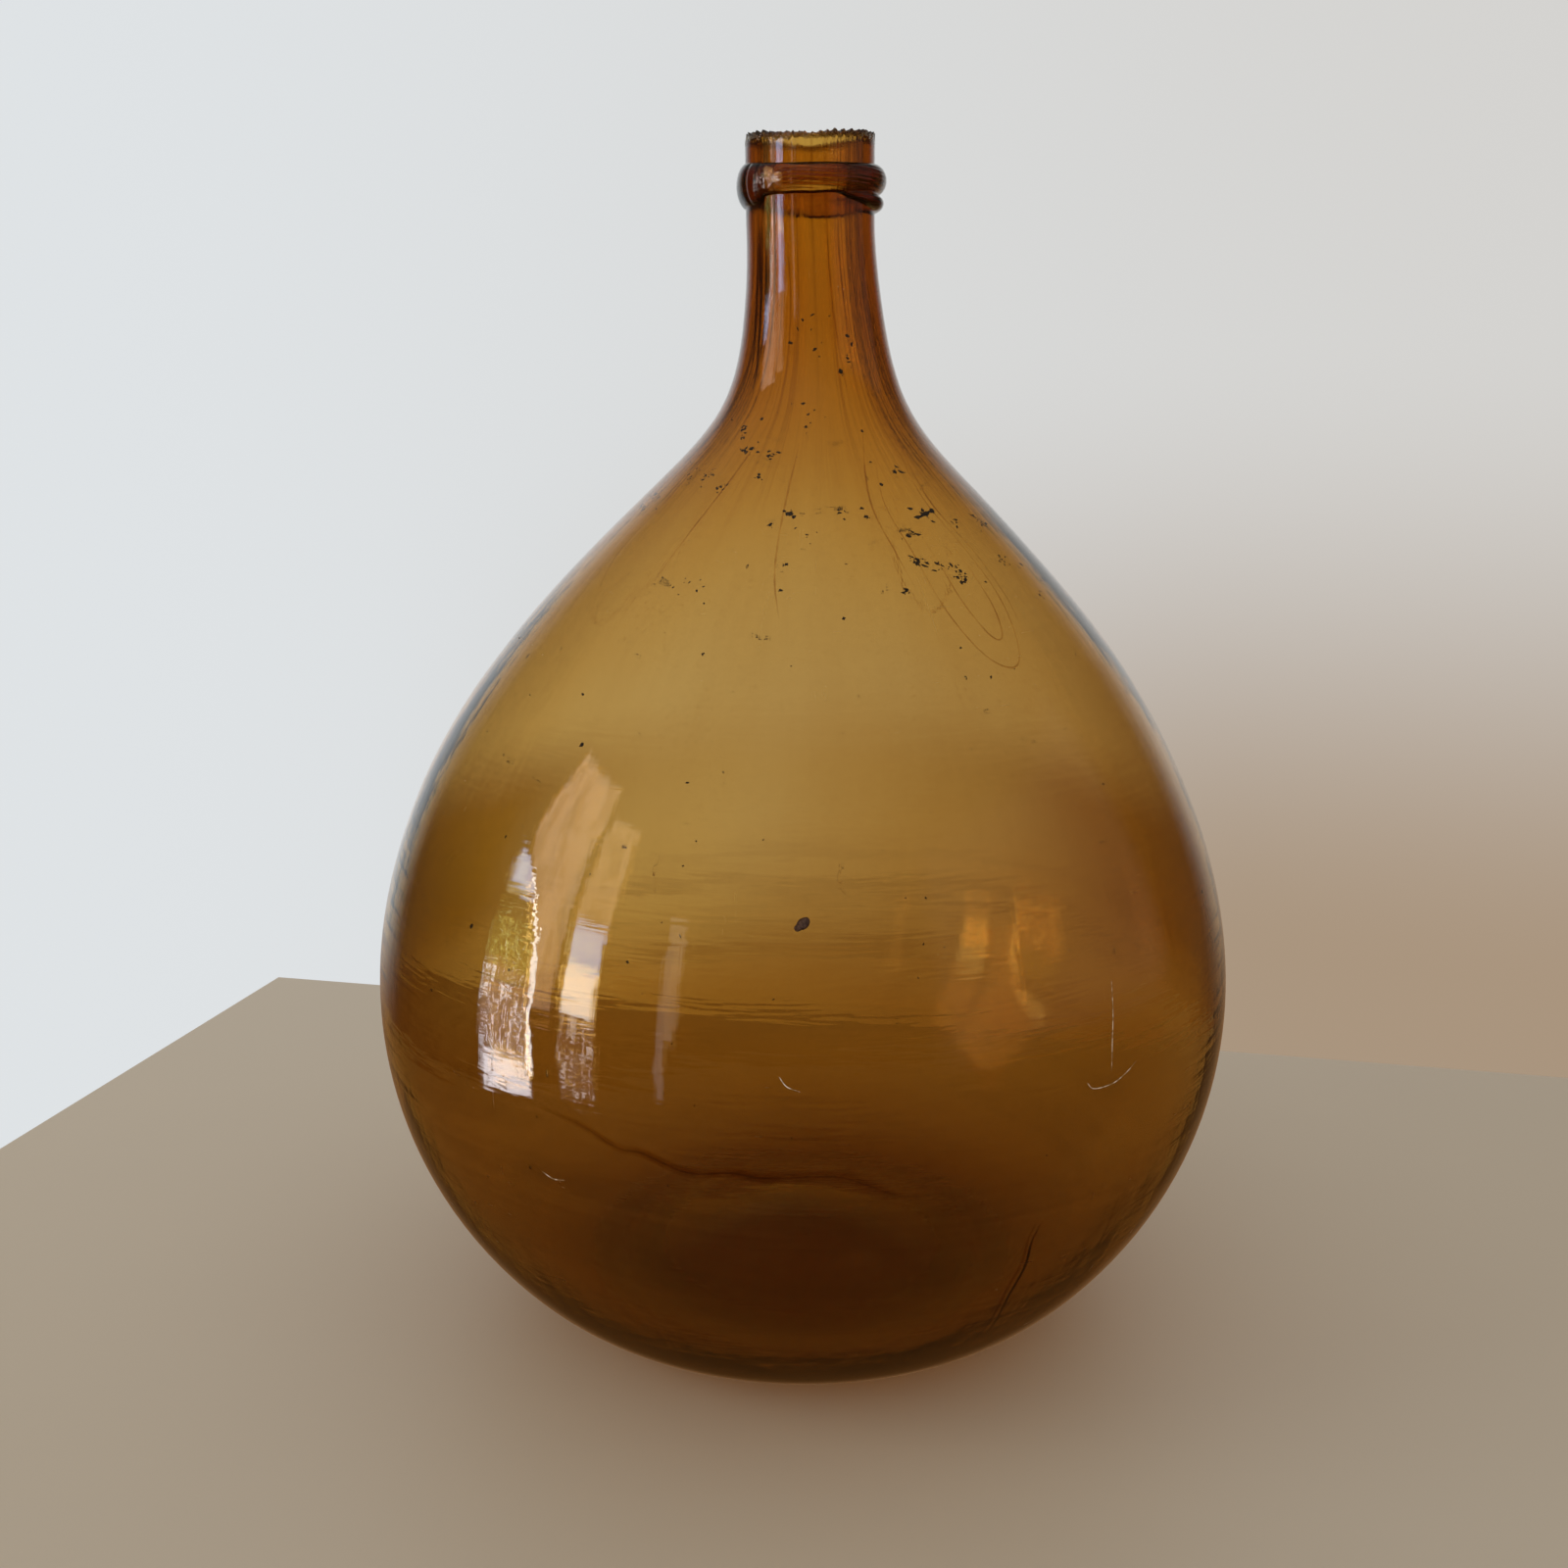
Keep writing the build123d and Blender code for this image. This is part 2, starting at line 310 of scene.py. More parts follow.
def vessel_grid():
    """The vessel as one closed grid. Each row is turned round the axis; the outside and
    the inside each take their own rolling waves, strongest where the glass was worked
    least, and the rows near the mouth stretch up to the broken edge. With it come its
    marks: how far each point is inside, how far it is broken, and its flow, which is its
    direction round the axis with the way walked up the profile."""
    angle = round_angles(COLUMNS)
    blocks, inside, broken = [], [], []

    def spread(values):
        """Values, or a path's radii and heights, kept the same all round each row."""
        return np.repeat(np.transpose(values)[..., None], COLUMNS, axis=-1)

    def lay(r, z, inner, cracked=0.0):
        """Adds rows of points with their marks."""
        blocks.append(standing(r, angle, z))
        inside.append(np.full(z.shape, inner))
        broken.append(np.broadcast_to(cracked, z.shape))

    # underside, from just off the middle, and the resting ring
    lay(*spread(UNDER[1:]), 0.0)
    out_rows = thinned(OUTSIDE, 118, 0.35)
    ring_r = spread(np.linspace(UNDER[-1, 0], out_rows[0, 0], 4)[1:-1])
    lay(ring_r, 0.0 * ring_r, 0.0)
    # outside
    r, z = spread(out_rows)
    lay(r + outside_roll(angle, r, z), z, 0.0)
    # outside of the finish, up to the break
    nicks = teeth(angle)
    top = lip_height(NECK_R, angle) + (1.2 - 3.0 * nicks) * MM
    share = spread(1 - (1 - np.linspace(0, 1, 16)[1:]) ** 1.7)
    z = NECK_Z + (np.minimum(top, TALLEST) - NECK_Z) * share
    lay(NECK_R + outside_roll(angle, NECK_R, z), z, 0.0, smooth_step(0.93, 0.985, share))
    # the break, from the outer edge to the bore
    q = spread(np.linspace(0, 1, 15))
    arch = np.sin(math.pi * q)
    flake = teeth(angle, 0.0, 77) ** 2 * 0.9 * MM
    r = NECK_R - 0.3 * MM - flake * (1 - q) + (BORE_R - NECK_R + 0.3 * MM) * q
    grain = (teeth(angle, q * 5, 59) - 0.5) * 0.8 * arch ** 0.5
    rough = teeth(angle, q * 2) * 3.0 * (1 - 0.45 * arch) + grain
    z = lip_height(r, angle) + (1.2 - 0.45 * arch - rough) * MM
    lay(r, np.minimum(z, TALLEST), 0.5, 1.0)
    # bore, down from the break
    top = blocks[-1][-1, :, 2]
    share = spread(np.linspace(0, 1, 16)[1:] ** 1.6)
    z = top + (NECK_Z - top) * share
    lay(BORE_R + bore_streaks(angle, z) * MM * share, z, 1.0, 1 - smooth_step(0.0, 0.06, share))
    # inside, from the neck down to the trough
    r, z = spread(thinned(INSIDE, 102, 0.35)[::-1][1:])
    roll = rolling_waves(angle, z, 11, (2, 3, 5, 6, 8, 11, 16), 60.0)
    calm = smooth_step(6 * MM, 40 * MM, z)
    wave = calm * roll * 0.4
    wave = wave + (bore_streaks(angle, z) - wave) * smooth_step(0.262, 0.345, z)
    lay(r + wave * MM, z, 1.0)
    # floor over the kick-up, in towards the middle
    lay(*spread(FLOOR[::-1][1:-1]), 1.0)

    grid = np.concatenate(blocks)
    walked = spread(way_walked(grid[:, 0]))
    turn = np.broadcast_to(angle, walked.shape)
    flow = np.stack([np.sin(turn), -np.cos(turn), walked], axis=2).reshape(-1, 3)
    # the two middles, under and over the kick-up, close the grid
    ends = [[0, 0, KICK_UP_RISE], [0, 0, KICK_UP_RISE + KICK_UP_WALL]]
    points = np.concatenate([grid.reshape(-1, 3), ends])
    marks = {"inside": np.append(np.concatenate(inside), [0.0, 1.0]),
             "broken": np.append(np.concatenate(broken), [0.0, 0.0]),
             "flow": np.concatenate([flow, [[0, 0, 0], [0, 0, walked[-1, 0]]]])}
    tip = len(grid) * COLUMNS
    triangles = np.concatenate([fan(tip, 0, COLUMNS, True), fan(tip + 1, tip - COLUMNS, COLUMNS)])
    return points, grid_faces(len(grid), COLUMNS), triangles, marks


# ---- what the glass holds

def skin(angle, height, depth):
    """A point under the outside at an angle, height and depth, with the directions round
    the axis, up along the profile and out of the glass there."""
    columns = (OUTSIDE[:, 0], *directions(OUTSIDE).T)
    r, up_r, up_z = [np.interp(height, OUTSIDE[:, 1], column) for column in columns]
    sin, cos = np.sin(angle), np.cos(angle)
    round_axis = np.stack([cos, sin, 0 * sin], axis=-1)
    up = np.stack([up_r * sin, -up_r * cos, up_z], axis=-1)
    out = np.stack([up_z * sin, -up_z * cos, -up_r], axis=-1)
    base = standing(r + outside_roll(angle, r, height), angle, height)
    return base - out * depth, round_axis, up, out


def lumps(angle, height, depth, halves, tilt, seed, uneven):
    """Closed lumps, each an ellipsoid on a small latitude and longitude grid, its radius
    made uneven by two seeded waves, turned by its tilt and laid flat in the glass."""
    chance = np.random.default_rng(seed)
    count, rings, sides = len(angle), 5, 8
    middle, round_axis, up, out = skin(angle, height, depth)
    cos, sin = np.cos(tilt)[:, None], np.sin(tilt)[:, None]
    axes = np.stack([round_axis * cos + up * sin, up * cos - round_axis * sin, out], axis=1)
    lat = np.linspace(0, math.pi, rings + 2)[1:-1, None]
    lon = round_angles(sides)
    ball = np.stack([np.cos(lat) + 0 * lon, np.sin(lat) * np.cos(lon), np.sin(lat) * np.sin(lon)],
                    axis=-1).reshape(-1, 3)
    ball = np.concatenate([ball, [[1.0, 0, 0], [-1.0, 0, 0]]])
    x, y, z = ball.T
    phase = chance.uniform(0, 2 * math.pi, (count, 1))
    bumps = 1 + uneven * (np.sin(4.1 * x + phase) * np.cos(3.3 * y - 2 * phase)
                          + 0.6 * np.sin(5.2 * z + 3 * phase))
    local = ball * bumps[..., None] * halves[:, None, :]
    points = middle[:, None] + local @ axes
    first = (np.arange(count) * len(ball))[:, None, None]
    tip = rings * sides
    quads = grid_faces(rings, sides)[:, ::-1] + first
    triangles = np.concatenate([fan(tip, 0, sides), fan(tip + 1, tip - sides, sides, True)]) + first
    return points.reshape(-1, 3), quads.reshape(-1, 4), triangles.reshape(-1, 3)


def strand(path, depth, thick, steps, flat=1.0):
    """A closed thin tube through the glass: its middle is a smooth curve through the
    path's angles and heights, and its section is a flattened eight-sided ring that thins
    to a point at both ends. The last result is each point's nearness to the core: 1 on
    the section's crown, 0 at its two thin edges and at the ends."""
    sides = 8
    table = np.array(path)
    t = np.linspace(0, len(table) - 1, steps)
    angle, height = [catmull(column, t) for column in table.T]
    middle, _, _, out = skin(np.radians(angle), height * MM, depth)
    ahead = directions(middle)
    aside = unit(np.cross(out, ahead))
    over = np.cross(ahead, aside)
    lon = round_angles(sides)
    along = np.sin(np.linspace(0, math.pi, steps))[:, None]
    ring = aside[:, None] * np.cos(lon)[:, None] + over[:, None] * flat * np.sin(lon)[:, None]
    points = middle[:, None] + thick * (0.12 + 0.88 * along ** 0.4)[..., None] * ring
    tips = [middle[:1] - ahead[:1] * thick, middle[-1:] + ahead[-1:] * thick]
    tip = steps * sides
    triangles = np.concatenate([fan(tip, 0, sides, True), fan(tip + 1, tip - sides, sides)])
    core = np.append(along ** 0.6 * np.abs(np.sin(lon)), [0.0, 0.0])
    return np.concatenate([points.reshape(-1, 3), *tips]), grid_faces(steps, sides), triangles, core


# Stones that didn't melt, at the shoulder: angle, height, half length, half width, tilt
STONES = np.array((
    (34, 266, 2.3, 0.75, 24), (31, 265.2, 1.1, 0.6, 10), (37.5, 266.8, 1, 0.8, 40),
    (29.8, 267.6, 0.8, 0.45, -5), (35.6, 263.9, 0.7, 0.35, -30), (28.2, 260.5, 0.95, 0.4, -15),
    (34.3, 278.1, 1.2, 0.45, -25), (33.2, 279.6, 0.6, 0.35, -50), (-7.7, 266.4, 1, 0.7, 20),
    (-6.3, 265.5, 0.6, 0.5, 60), (-9.2, 267, 0.5, 0.35, -20), (13.8, 267.9, 0.6, 0.45, 10),
    (25.1, 253.4, 0.9, 0.5, 70), (26.3, 252, 1.1, 0.35, -25), (28.2, 250.7, 0.9, 0.3, -12),
    (23.6, 254.6, 0.9, 0.25, -30), (33.7, 252, 0.35, 0.8, 10), (35.6, 248, 0.4, 0.8, -20),
    (36.4, 249.5, 0.35, 0.35, 0), (54.6, 265, 1.6, 0.22, -38), (57, 262.2, 1.8, 0.2, -42),
    (60, 250.6, 0.8, 0.3, -40), (30.7, 222.7, 0.5, 0.3, 60), (26.9, 230.5, 0.4, 0.3, 30),
    (-40.6, 290.4, 0.9, 0.4, 30), (-16.6, 283.7, 0.7, 0.35, -10), (-21, 284, 0.5, 0.3, 20),
    (22.3, 281, 0.4, 0.3, 0), (146, 258, 1.4, 0.6, -20), (148.5, 259.2, 0.7, 0.5, 30),
    (221, 241, 1, 0.5, 35), (262, 270, 0.8, 0.4, 10), (190, 214, 0.7, 0.5, 50),
))

# Cords: hairpins of slower glass that ran down from the neck and back, as angle and height
CORDS = (
    ((45, 297), (38.6, 281), (37, 270), (41, 256), (42.4, 243), (40, 230), (36.5, 224.6),
     (31.5, 228), (27, 240), (24.4, 256), (21.6, 270), (25, 283)),
    ((46, 295), (40.4, 280), (39.2, 269), (43.4, 256), (44.6, 243), (43.2, 233)),
    ((36.8, 262), (38.6, 250), (39, 240), (37.2, 232.6), (34.6, 233), (32, 241), (30.4, 252),
     (28.8, 262)),
    ((24, 291), (18.5, 278), (17.2, 268), (19.6, 257), (22, 246)),
    ((-26, 295), (-31, 279), (-35, 262), (-37, 247)),
    ((-8, 288), (-9.4, 270), (-9, 252), (-6.5, 238)),
    ((132, 292), (140, 276), (151, 258), (154, 240), (149, 229), (142, 236), (136, 252), (128, 268)),
    ((236, 294), (228, 277), (223, 260), (226, 241), (234, 226), (241, 233), (240, 250)),
    ((300, 290), (305, 272), (303, 255), (309, 240)),
)

# Dark threads drawn down the neck, the first of them dark stripes painted at its left for
# the stripes that refraction makes there, a dark upright line near the foot, a dark wavy
# line low on the front inside, and the fine scratches of use on the belly
NECK_THREADS = (
    ((-57, 351), (-57.5, 338), (-56, 322), (-52, 306)),
    ((-50.5, 351), (-51, 336), (-49.5, 318), (-45, 300)),
    ((-45, 351), (-45.5, 338), (-44.4, 322)), ((-53.5, 351), (-54, 342), (-53, 330)),
    ((-22, 351), (-21.5, 336), (-18, 318)), ((13.5, 351), (14, 336), (16.5, 318), (20, 300)),
    ((23, 351), (24, 334), (28, 316)), ((41, 351), (41.5, 336), (44, 318), (49, 302)),
    ((48, 351), (48.6, 340), (50, 328)), ((78, 351), (80, 332), (84, 312)),
    ((121, 351), (122, 330), (127, 306)), ((168, 351), (167, 334), (163, 315)),
    ((197, 351), (198, 330), (203, 309)), ((231, 351), (232, 335), (236, 320)),
    ((268, 351), (269, 332), (272, 310)),
)
# how many of them, from the first, are painted dark stripes of refraction rather than cords
PAINTED_STRIPE_THREADS = 4
FOOT_LINE = ((28.4, 77), (27.7, 70), (27.9, 61), (27.3, 49), (27.7, 34), (26.8, 22))
LOW_WAVY_LINE = ((-31, 110), (-25.4, 107.5), (-21, 103), (-18, 102.5), (-12.9, 98.6), (-8, 99.6),
             (-4.5, 98.6), (2.7, 99.4), (6.5, 96.5), (10.2, 92.6), (15, 92))
SCRATCHES = (
    ((37.2, 143), (36.9, 134), (36.5, 126), (36.3, 118)),
    ((32.5, 117.1), (33.6, 114.8), (36.4, 114.6), (38.6, 116.2), (40.5, 118.6)),
    ((-3, 127), (-2.2, 124.5), (-0.8, 123.2)), ((-31, 91), (-29.5, 89.6), (-27.9, 90.1)),
    ((112, 131), (114, 124), (118, 119)), ((171, 96), (173, 104), (172, 113)),
    ((247, 140), (251, 137), (254, 137.5)), ((205, 118), (206.4, 109), (206.1, 103)),
)

# Where the specks crowd: angle, height, spread in degrees and in millimetres, how many
CROWDS = np.array((
    (-40, 290, 3, 2.2, 10), (-30, 284, 5, 1.2, 14), (-19, 283, 2, 1, 8),
    (-43, 277, 3.5, 2.2, 16), (-34, 273.6, 2.5, 1.4, 10), (-22, 276.5, 2, 1.6, 5),
    (-12.5, 263, 1, 0.8, 5), (-7.7, 266.4, 1.2, 0.9, 9), (-0.8, 259.8, 2.5, 2, 5),
    (8.5, 266.5, 2.8, 1.5, 7), (14.8, 265.2, 1, 0.8, 4), (1, 293, 26, 5, 9),
    (-4, 318, 34, 6, 12), (24, 311, 2, 2.6, 5), (17.6, 307, 1.2, 0.8, 3),
    (34, 266.2, 2.6, 1.1, 12), (31, 278.4, 1.1, 0.7, 6), (22.8, 274.8, 0.8, 0.7, 3),
    (26, 260.8, 1.4, 0.9, 7), (25.2, 253.4, 2.3, 1.3, 22), (31.2, 251.8, 3.4, 1.5, 16),
    (34.6, 248.4, 1.7, 2.2, 18), (19.2, 245, 1, 1, 5), (43.6, 264, 2, 3.4, 8),
    (55.6, 263, 2.2, 2.4, 12), (53, 252, 3.6, 2.4, 10), (58.4, 242.6, 1.4, 1.2, 5),
    (-6.8, 253, 0.9, 1, 4), (-53, 276, 3.5, 3, 10), (-27.5, 245, 9, 6, 8),
    (146, 258.5, 4, 2.2, 20), (118, 279, 5, 3.5, 14), (171, 268, 6, 3, 12),
    (221, 241.5, 3, 2, 14), (205, 285, 6, 3.5, 12), (262, 270, 3, 2.4, 16),
    (245, 289, 5, 2.5, 10), (190, 214.5, 1.2, 1, 6), (88, 262, 5, 4, 14),
    (100, 289, 5, 3, 10), (290, 268, 6, 5, 16),
))


def stones_and_specks():
    """The named stones, each with its half thickness, the specks that crowd at their
    seeded places round the middles of the crowds, and loose ones that thin out downwards."""
    chance = np.random.default_rng(5)
    crowd = np.repeat(CROWDS, CROWDS[:, 4].astype(int), axis=0)
    near, loose = len(crowd), 120
    angle = np.append(crowd[:, 0] + chance.normal(0, 0.5, near) * crowd[:, 2],
                      chance.uniform(-180, 180, loose))
    height = np.append(crowd[:, 1] + chance.normal(0, 0.5, near) * crowd[:, 3],
                       80 + 215 * chance.uniform(0, 1, loose) ** 0.6)
    length = 0.2 + 0.5 * chance.uniform(0, 1, near + loose) ** 2.2
    width = length * chance.uniform(0.35, 0.95, near + loose)
    tilt = chance.uniform(-80, 80, near + loose)
    specks = np.stack([angle, height, length, width, tilt], axis=1)
    angle, height, length, width, tilt = np.concatenate([STONES, specks]).T
    halves = np.stack([length, width, np.minimum(width, 0.55) * 0.8], axis=1) * MM
    return lumps(np.radians(angle), height * MM, 1.3 * MM, halves, np.radians(tilt), 6, 0.42)


def seeds():
    """Small gas bubbles, drawn out upwards: hollow ellipsoids whose faces look into the
    hollow, all over the body but most in the lower half."""
    chance = np.random.default_rng(15)
    count = 90
    angle = chance.uniform(-math.pi, math.pi, count)
    height = (24 + 240 * chance.uniform(0, 1, count) ** 1.3) * MM
    small = (0.14 + 0.3 * chance.uniform(0, 1, count) ** 3) * MM
    halves = np.stack([small * chance.uniform(1.2, 3.0, count), small, small * 0.8], axis=1)
    tilt = math.pi / 2 + chance.normal(0, 0.35, count)
    points, quads, triangles = lumps(angle, height, 1.2 * MM, halves, tilt, 16, 0.05)
    return points, quads[:, ::-1], triangles[:, ::-1]


# ---- the wound string ring

RING_COLUMNS = 400
RING_ROWS = 76
# The bead's middle below the lip, its height and how far it stands out, each at the
# front, right, back and left of the neck
BEAD_DROP = (15.3 * MM, 12.7 * MM, 13.4 * MM, 14.8 * MM)
BEAD_HEIGHT = (8.8 * MM, 9.4 * MM, 11.0 * MM, 13.4 * MM)
BEAD_DEPTH = (3.1 * MM, 4.0 * MM, 3.5 * MM, 2.8 * MM)
# How far its edges and then its back lie inside the neck, and how softly bead and tail meet
SKIN = 0.15 * MM
SEAT = 0.35 * MM
SOFT = 0.30 * MM
# Angles in degrees: the lap's flat, and where the tail begins and how far it turns
LAP_FROM, LAP_TO = -45.0, -31.0
TAIL_FROM, TAIL_TURN = 10.0, 252.0
LEVEL_EDGE_Z = 359.4 * MM


def swell(quarters, angle):
    """A smooth periodic value through its front, right, back and left values."""
    front, right, back, left = quarters
    return ((front + right + back + left) / 4 + (front - back) / 2 * np.cos(angle)
            + (right - left) / 2 * np.sin(angle) + (front - right + back - left) / 4 * np.cos(2 * angle))


def round_bead(height, middle, tall, deep):
    """How far an elliptical bead stands out at a height, and 0 above and below it."""
    return deep * np.sqrt(np.clip(1 - ((height - middle) / (tall / 2)) ** 2, 0, 1))


def tool_lines(angle, z):
    """Level lines that a tool left, coarse ones and fine ones, each swaying round the neck."""
    coarse = 2 * math.pi * z / (1.25 * MM) + 1.1 * np.sin(2 * angle + 0.6) + 0.6 * np.sin(7 * angle)
    fine = 2 * math.pi * z / (0.66 * MM) + 2.0 * np.sin(3 * angle) + 0.9 * np.sin(11 * angle)
    return np.sin(coarse) + 0.5 * np.sin(fine)


def ring_grid():
    """The wound trail as a closed loop of sections. Across the outside of a section the
    height runs from its lower to its upper edge, and the glass stands out by the greater
    of the bead and the tail, softened where they meet; the other half of the section
    lies just inside the neck. At the lap the bead steps down to a flat pressed by the
    tool, and the front keeps the tool's fine level lines."""
    angle = round_angles(RING_COLUMNS)
    degrees = np.degrees(angle)
    turned = (degrees + 180) % 360 - 180
    middle = LIP_Z - swell(BEAD_DROP, angle)
    tall = swell(BEAD_HEIGHT, angle)
    deep = swell(BEAD_DEPTH, angle)
    # left of the lap the bead hangs lower; past it, its lower edge steps up and runs level
    low, high = middle - tall / 2, middle + tall / 2
    low = low - 0.6 * MM * stretch(turned, -80, -50, LAP_FROM - 1.0, LAP_FROM + 2.5)
    low = low + (LEVEL_EDGE_Z - low) * stretch(turned, LAP_FROM - 1.0, LAP_FROM + 2.5, -14, 22)
    middle, tall = (low + high) / 2, high - low
    # the thick end of the bead, left of the lap, dies away round to the back
    deep = deep + 0.55 * MM * stretch(turned, -150, -50, LAP_FROM - 1.2, LAP_FROM + 0.6)
    # the tail leaves the bead's lower edge at the front right and turns to the left,
    # climbing and growing under the bead
    share = np.clip((degrees - TAIL_FROM) / TAIL_TURN, 0, 1)
    leaving = smooth_step(TAIL_FROM, 80, degrees)
    shown = stretch(degrees, 6, 80, 232, 266)
    tail_middle = LIP_Z - (18.4 + 2.1 * leaving - 2.6 * share) * MM
    tail_tall = (3.0 + 1.6 * leaving + 1.4 * share) * MM
    bottom = low + np.minimum(tail_middle - tail_tall / 2 - low, 0) * smooth_step(0, 0.35, shown)
    upper = high + 0.25 * MM * np.sin(3 * angle + 1.0)
    u = np.linspace(0, math.pi, RING_ROWS)[:, None]
    z = (bottom + upper) / 2 - np.cos(u) * (upper - bottom) / 2
    bead = round_bead(z, middle, tall, deep)
    tail = round_bead(z, tail_middle, tail_tall, 3.2 * MM * shown)
    out = SOFT * np.log(np.exp(bead / SOFT) + np.exp(tail / SOFT)) - SOFT * math.log(2)
    # the pressed flat: a plane across the bead, leaning back a little at its lower end
    aside = np.radians(np.clip(turned - (LAP_FROM + LAP_TO) / 2, -57, 57))
    half = math.radians((LAP_TO - LAP_FROM) / 2)
    flat = (NECK_R + deep * 0.93) * math.cos(half) / np.cos(aside) - NECK_R + 0.10 * (z - middle)
    pressed = stretch(turned, LAP_FROM - 0.4, LAP_FROM + 0.8, LAP_TO, LAP_TO + 4)
    out = out + (np.minimum(out, flat) - out) * pressed
    dent = bell(turned + 40, 2.6) * bell(z - middle + 1.8 * MM, 1.4 * MM)
    groove = bell(turned + 46.5, 1.4) + 0.6 * bell(turned + 60, 2.5)
    out = out - (0.35 * dent + 0.45 * groove) * MM
    # tool lines on the front, finer than the bead, and a slow lumpiness all round
    lines = tool_lines(angle, z) * stretch(turned, -30, -22, 58, 96)
    lumpy = rolling_waves(angle, z, 31, (3, 5, 8, 13, 21), 300.0)
    edge = np.sin(u)
    out = (out + (0.07 * lines + 0.08 * lumpy) * MM * edge) * edge ** 0.12
    # the half that lies inside the neck
    z_back = upper + (bottom - upper) * np.linspace(0, 1, 6)[1:-1, None]
    r_back = np.full_like(z_back, NECK_R - SEAT - SKIN)
    r = np.concatenate([NECK_R - SKIN + np.maximum(out, 0.0), r_back])
    z = np.concatenate([z, z_back])
    return standing(r, angle, z).reshape(-1, 3), grid_faces(len(r), RING_COLUMNS, closed_rows=True)


# ---- finishes

class Paint:
    """A node tree with its output node, and a plain verb for each kind of node in it. Every
    value that a verb takes may be a number, a colour or another node's socket."""

    def __init__(self, tree, output):
        """Empties the tree and gives it its output node."""
        tree.nodes.clear()
        self.tree = tree
        self.output = self.add(output)

    def feed(self, sockets, *values):
        """Joins each socket to the value's own socket, or gives it the plain value."""
        for socket, value in zip(sockets, values):
            if isinstance(value, bpy.types.NodeSocket):
                self.tree.links.new(value, socket)
            elif socket.type == "RGBA":
                socket.default_value = (*value, 1)
            else:
                socket.default_value = value

    def add(self, kind, settings=None, **inputs):
        """A node of a kind with its settings and inputs."""
        node = self.tree.nodes.new(kind)
        for key, value in (settings or {}).items():
            setattr(node, key, value)
        self.feed([node.inputs[key.replace("_", " ")] for key in inputs], *inputs.values())
        return node

    def reckon(self, operation, first, *others):
        """The values put together two by two by a sum, product or the like."""
        for other in others:
            node = self.add("ShaderNodeMath", {"operation": operation})
            self.feed(node.inputs, first, other)
            first = node.outputs[0]
        return first

    def product(self, *values):
        """All the values multiplied."""
        return self.reckon("MULTIPLY", *values)

    def total(self, *values):
        """The sum of all the values."""
        return self.reckon("ADD", *values)

    def mixed(self, share, first, second):
        """A number that goes from the first to the second with the share."""
        return self.total(self.product(share, second - first), first)

    def between(self, value, low, high, start=0.0, end=1.0):
        """An eased step from one value to another as the input passes from low to high."""
        node = self.add("ShaderNodeMapRange", {"interpolation_type": "SMOOTHSTEP"})
        self.feed(node.inputs, value, low, high, start, end)
        return node.outputs[0]

    def blended(self, share, first, second):
        """A colour between two colours."""
        node = self.add("ShaderNodeMix", {"data_type": "RGBA"})
        self.feed([node.inputs[place] for place in (0, 6, 7)], share, first, second)
        return node.outputs[2]

    def cloud(self, place, scale, detail=2.0, roughness=0.5, distortion=0.0):
        """Smooth noise between 0 and 1. Three scales in place of one stretch it."""
        if isinstance(scale, tuple):
            node = self.add("ShaderNodeVectorMath", {"operation": "MULTIPLY"})
            self.feed(node.inputs, place, scale)
            place, scale = node.outputs[0], 1.0
        return self.add("ShaderNodeTexNoise", Vector=place, Scale=scale, Detail=detail,
                        Roughness=roughness, Distortion=distortion).outputs[0]

    def mark(self, name, kind="Fac"):
        """A mark that the piece's points carry."""
        return self.add("ShaderNodeAttribute", {"attribute_name": name}).outputs[kind]

    def relief(self, height, distance=MM, strength=1.0):
        """A surface direction bent by a height, counted in the distance."""
        return self.add("ShaderNodeBump", Strength=strength, Distance=distance,
                        Height=height).outputs[0]

    def parts(self, vector):
        """The three parts of a place or direction."""
        return self.add("ShaderNodeSeparateXYZ", Vector=vector).outputs


def new_finish(name):
    """An empty node material, its paint and the place on the piece that its noises read."""
    material = bpy.data.materials.new(name)
    material.use_nodes = True
    paint = Paint(material.node_tree, "ShaderNodeOutputMaterial")
    return material, paint, paint.add("ShaderNodeTexCoord").outputs["Object"]


AMBER = (0.853, 0.648, 0.085)
AMBER_DENSITY = 400.0
VEIL = (0.9, 0.9, 0.9)


def amber_glass(paint, colour, roughness, height):
    """Glass for what looks at it, and a plain veil for rays from lamps and from matt
    surfaces, so that their light falls through it straight. The amber takes light away
    along its way through the glass. The relief's height is in millimetres."""
    glass = paint.add("ShaderNodeBsdfPrincipled", Base_Color=colour, Roughness=roughness,
                      IOR=1.5, Transmission_Weight=1.0, Normal=paint.relief(height))
    clear = paint.add("ShaderNodeBsdfTransparent", Color=VEIL)
    path = paint.add("ShaderNodeLightPath")
    surface = glass.outputs[0]
    for ray in ("Is Diffuse Ray", "Is Shadow Ray"):
        mix = paint.add("ShaderNodeMixShader")
        paint.feed(mix.inputs, path.outputs[ray], surface, clear.outputs[0])
        surface = mix.outputs[0]
    depth = paint.add("ShaderNodeVolumeAbsorption", Color=AMBER, Density=AMBER_DENSITY)
    paint.feed(paint.output.inputs, surface, depth.outputs[0])


